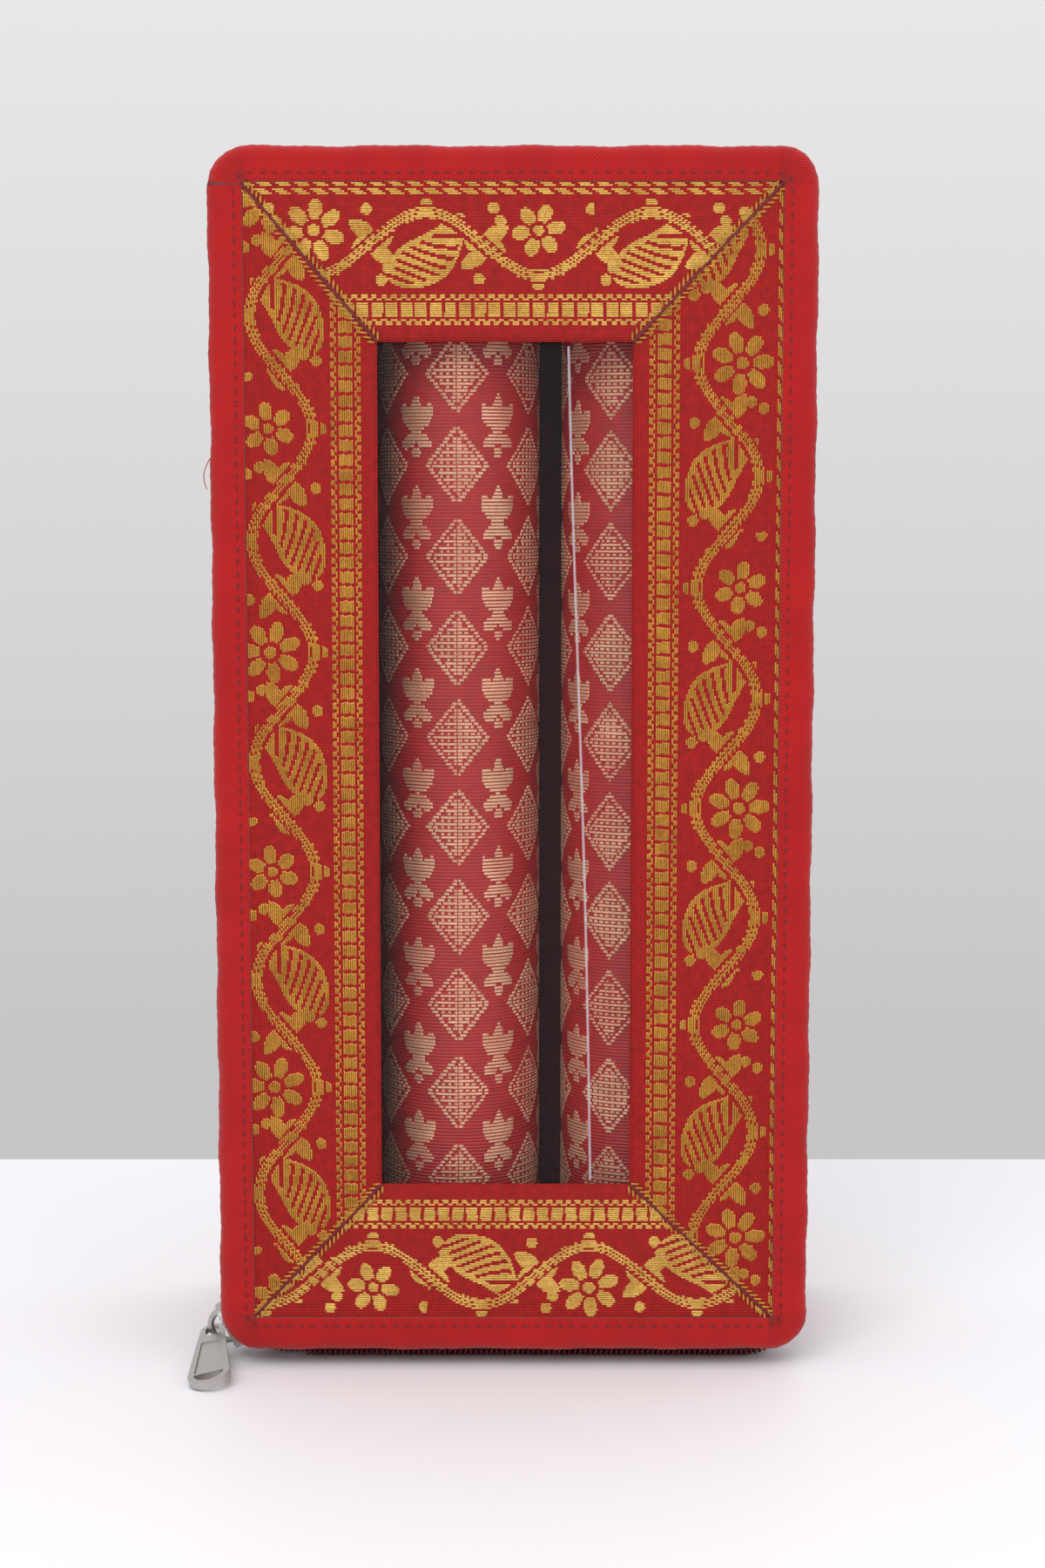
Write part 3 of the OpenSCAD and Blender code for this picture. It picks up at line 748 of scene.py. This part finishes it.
def bud_brocade():
    s = Shade("cover_brocade")
    x, y, z = s.split(s.place())
    column = ((x + y) / BUD_PITCH).fract() - 0.5
    rows = (z / BUD_PITCH).fract() - 0.5
    spot = (column * column + rows * rows * 0.6).power(0.5)
    bud = spot.below(0.16)
    thread = (z * (2 * math.pi / 0.7)).sin()
    ground = s.mix(s.noise(0.4, 3.0), rgb(112, 12, 16), rgb(158, 26, 28))
    return s.finish(s.mix(bud, ground, rgb(206, 150, 92)), 0.65, height=thread + bud * 2.0, depth=0.06)


BUDS = bud_brocade()


def wall_ring():
    """The cover round the four walls, with its top edge tucked under the tape."""
    path = ring_path(ZIP, whole_ring(ZIP), 2.0)
    low, high, thick = 4.1, 51.0, 0.6
    profile = [(-WALL_INSET, low), (-WALL_INSET + 0.12, 20.0), (-WALL_INSET + 0.18, 36.0), (-WALL_INSET, high),
               (-WALL_INSET - thick, high), (-WALL_INSET - thick, low)]
    o = sweep("wall_cover", path, profile, BUDS, True)
    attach(o, "box")
    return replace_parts(o, "outer_cover")


wall_ring()


def cad(name, material, bevel=0.0):
    """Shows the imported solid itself, with this finish."""
    o = NODE[name]
    o.data.materials.clear()
    o.data.materials.append(material)
    if bevel:
        edge = o.modifiers.new("worn edges", "BEVEL")
        edge.width, edge.segments, edge.limit_method = bevel / 1000, 3, "ANGLE"
        o.data.shade_smooth()
        o.modifiers.new("even shading", "WEIGHTED_NORMAL")
    return o


def face_cloth(name, colour, light):
    """Plain cloth for a flat panel, woven in the panel's own plane."""
    s = Shade(name)
    x, y, z = s.split(s.place())
    weave = ((x + y) * 9.0).sin() * 0.5 + (z * 9.0).sin() * 0.5
    return s.finish(s.mix(s.noise(0.2, 4.0), colour, light), 0.85, height=weave, depth=0.05)


INSIDE = face_cloth("inside_cloth", rgb(84, 12, 16), rgb(116, 20, 24))
for name in ("back_board", "left_wall_board", "right_wall_board", "top_wall_board", "bottom_wall_board",
             "lid_board", "roll_1_tube", "roll_2_tube"):
    cad(name, CARD)
for name in ("wall_lining", "back_lining", "lid_lining"):
    cad(name, INSIDE)
cad("back_cover", BUDS)
for name in ("roll_1_padding", "roll_2_padding"):
    cad(name, WADDING)


# Slider and pull: cast metal with nickel plating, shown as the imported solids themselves.
# The pull hangs loose on the slider's arch and carries no mark.
cad("slider_body", NICKEL, 0.3)
cad("slider_arch", NICKEL)
cad("pull_tab", NICKEL, 0.25)


# Rolls: two card tubes padded with wadding, which bangles are slipped over.
# Each has a brocade sleeve with diamonds and flowers in pale gold, gathered over a disc at each end.
def roll_ground():
    s = Shade("roll_ground")
    along, across = s.cloth()
    rib = (across * (2 * math.pi / 0.85)).sin()
    tone = s.noise(0.35, 3.0) * 0.8 + rib * 0.15 - 0.05
    return s.finish(s.mix(tone, rgb(128, 3, 4), rgb(178, 10, 10)), 0.6, height=rib, depth=0.08)


ROLL_GROUND = roll_ground()
ROLL_R, ROLL_LEN = 20.75, 284.0
ROLL_DEPTH = 71.9 - 5.4 - ROLL_R
ROLL_LOW = 9.4
ACROSS = 2 * math.pi * ROLL_R / 6


DIAMOND_TALL, ROLL_ROW = 22.8, 0.85
# leaves of the flower between the diamonds: turn, length and half width
ROLL_LEAVES = ((1.0, 8.2, 2.1), (2.14, 8.2, 2.1), (1.57, 9.6, 1.7), (-0.9, 5.6, 1.7), (-2.24, 5.6, 1.7))


def roll_motif(u, v):
    """Gold where True; u round the roll from its front, v up from the roll's first diamond."""
    tall = DIAMOND_TALL
    a = (u / ACROSS + 0.5) % 1 - 0.5
    b = (v / tall + 0.5) % 1 - 0.5
    d = np.abs(a) * ACROSS / 8.4 + np.abs(b) * tall / 10.3
    line = np.floor(v / ROLL_ROW).astype(int)
    gold = (d < 1.0) & (d > 0.84)
    gold |= (d < 0.78) & ((line % 2 == 0) | (u / 1.7 % 1 < 0.62))
    a2, b2 = (a % 1 - 0.5) * ACROSS, (b % 1 - 0.5) * tall
    for turn, long, wide in ROLL_LEAVES:
        gold |= leaf(a2, b2 + 3.0, long, wide, turn)
    for dx, dy in ((0, -8.2), (3.0, -6.0), (-3.0, -6.0)):
        gold |= np.hypot(a2 - dx, b2 - dy) < 1.35
    return gold


def roll(number, across, phase_u, phase_v):
    body = "roll_%d" % number

    def on_roll(u, v, z):
        a = u / ROLL_R
        r = ROLL_R - 0.15 + z
        return across + r * math.sin(a), ROLL_LOW + v, ROLL_DEPTH + r * math.cos(a)

    verts, cloth = [], []
    around, lines = 96, 60
    for i in range(lines + 1):
        v = ROLL_LEN * i / lines
        tuck = 0.5 * math.exp(-min(v, ROLL_LEN - v) / 1.2)
        for j in range(around):
            u = 2 * math.pi * ROLL_R * j / around
            soft = 0.12 * math.sin(v * 0.11 + number) * math.sin(u * 0.09)
            verts.append(on_roll(u, v, -tuck + soft * 0.6))
            cloth.append((u, v))
    sleeve = piece(body + "_brocade", verts, grid(lines + 1, around, True), ROLL_GROUND, cloth=cloth)
    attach(sleeve, body)
    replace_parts(sleeve, body + "_sleeve")
    rows = [(v, 0.2, 2 * math.pi * ROLL_R - 0.2) for v in np.arange(1.4, ROLL_LEN - 1.4, ROLL_ROW)]
    floats(body + "_gold", rows, on_roll, lambda u, v: roll_motif(u - phase_u, v - phase_v),
           PALE_GOLD, body, ROLL_ROW, 0.2, most=1.6)
    for end in ("top", "bottom"):
        up = end == "top"
        verts, cloth = [], []
        rings = 12
        for i in range(rings + 1):
            f = i / rings
            for j in range(around):
                a = 2 * math.pi * j / around
                pleat = 0.22 * math.sin(18 * a) * f * (1 - f) * 4
                r = ROLL_R * (1 - f) + 0.6
                at = min(r, ROLL_R - 0.1)
                y = (ROLL_LEN - 0.25 + pleat - 0.5 * f) if up else (0.25 - pleat + 0.5 * f)
                verts.append((across + at * math.sin(a), ROLL_LOW + y, ROLL_DEPTH + at * math.cos(a)))
                cloth.append((r * a, r))
        quads = turned(grid(rings + 1, around, True))
        faces = quads if up else [quad[::-1] for quad in quads]
        middle = range(rings * around, (rings + 1) * around)
        faces.append(tuple(reversed(middle) if up else middle))
        cap = piece(body + "_gathered_" + end, verts, faces, ROLL_GROUND, cloth=cloth)
        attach(cap, body)
        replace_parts(cap, body + "_" + end + "_cap")


roll(1, -14.1, 0.0, 37.7)
roll(2, 33.1, -9.0, 36.4)


# Loose thread ends: short ends of red sewing thread left standing at the binding.
# One is on the left edge and one is at the lower right corner.
THREAD_R = 0.12


def thread(name, points, body):
    curve = bpy.data.curves.new(name, "CURVE")
    curve.dimensions, curve.bevel_depth, curve.bevel_resolution = "3D", THREAD_R / 1000, 2
    spline = curve.splines.new("NURBS")
    spline.points.add(len(points) - 1)
    for p, at in zip(spline.points, stand(points)):
        p.co = (*at, 1.0)
    spline.use_endpoint_u, spline.order_u = True, 3
    curve.materials.append(LOOSE)
    o = bpy.data.objects.new(name, curve)
    bpy.context.collection.objects.link(o)
    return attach(o, body)


LEFT_END = [(-75.0, 231, 73), (-76.0, 229, 74), (-76.6, 226, 74.6), (-75.6, 223.5, 75)]
CORNER_END = [(67.5, 11, 76.2), (68.6, 13.0, 76.6), (67.4, 15.0, 76.5), (68.6, 16.8, 76.2)]
thread("loose_thread_left", LEFT_END, "lid")
thread("loose_thread_corner", CORNER_END, "lid")


# Studio: a pale floor, a pale world with painted shade that makes it greyer low down, and three soft area
# lamps.
# The key is in front and to the left, a weaker fill to the right, and one more above.
FLOOR_REACH, FLOOR_BACK = 4, 0.186
PHOTO_TALL, PHOTO_PER_MM = 1800, 4.605   # the photo's height in pixels, and its pixels per millimetre
EYE_DISTANCE, EYE_PITCH = 0.66, math.radians(6.25)
AIM = (2.3, 38.0, 150.5)   # across, depth and height of the point that the camera looks at, in millimetres


def studio():
    s = Shade("floor_paper")
    s.finish(rgb(232, 232, 236), 0.6)
    mesh = bpy.data.meshes.new("floor")
    corners = [(-FLOOR_REACH, -FLOOR_REACH, 0), (FLOOR_REACH, -FLOOR_REACH, 0),
               (FLOOR_REACH, FLOOR_BACK, 0), (-FLOOR_REACH, FLOOR_BACK, 0)]
    mesh.from_pydata(corners, [], [(0, 1, 2, 3)])
    mesh.materials.append(s.material)
    floor = bpy.data.objects.new("floor", mesh)
    bpy.context.collection.objects.link(floor)
    world = bpy.data.worlds.new("room")
    bpy.context.scene.world = world
    world.use_nodes = True
    # the wall behind, with painted shade: greyer low down, paler above
    tree = world.node_tree
    way = tree.nodes.new("ShaderNodeTexCoord")
    split = tree.nodes.new("ShaderNodeSeparateXYZ")
    tree.links.new(way.outputs["Generated"], split.inputs[0])
    rise = tree.nodes.new("ShaderNodeMapRange")
    rise.inputs["From Min"].default_value, rise.inputs["From Max"].default_value = -0.2, 0.19
    tree.links.new(split.outputs[2], rise.inputs["Value"])
    tone = tree.nodes.new("ShaderNodeMix")
    tone.data_type = "RGBA"
    tone.inputs[6].default_value = rgb(200, 197, 199)
    tone.inputs[7].default_value = rgb(234, 233, 234)
    tree.links.new(rise.outputs[0], tone.inputs[0])
    tree.links.new(tone.outputs[2], tree.nodes["Background"].inputs[0])
    lamps = (("key", (-0.35, -1.1, 1.15), 0.9, 11.0), ("fill", (0.9, -0.9, 0.5), 1.0, 3.0),
             ("top", (0.1, 0.2, 1.4), 1.0, 4.0))
    for name, at, size, power in lamps:
        lamp = bpy.data.lights.new(name, "AREA")
        lamp.size, lamp.energy = size, power
        o = bpy.data.objects.new(name, lamp)
        o.location = at
        o.rotation_euler = (Vector((0, 0, 0.15)) - Vector(at)).to_track_quat("-Z", "Y").to_euler()
        bpy.context.collection.objects.link(o)
    eye = bpy.data.cameras.new("camera")
    eye.sensor_fit = "VERTICAL"
    eye.sensor_height = 36.0
    eye.lens = eye.sensor_height * PHOTO_PER_MM * EYE_DISTANCE * 1000 / PHOTO_TALL
    o = bpy.data.objects.new("camera", eye)
    across, depth, height = AIM
    aim = Vector(((across + MIDDLE_X) / 1000, (MIDDLE_Y - depth) / 1000, height / 1000))
    o.location = aim + Vector((0, -math.cos(EYE_PITCH), math.sin(EYE_PITCH))) * EYE_DISTANCE
    o.rotation_euler = (math.pi / 2 - EYE_PITCH, 0, 0)
    bpy.context.collection.objects.link(o)
    bpy.context.scene.camera = o
    bpy.context.scene.view_settings.view_transform = "Standard"


studio()
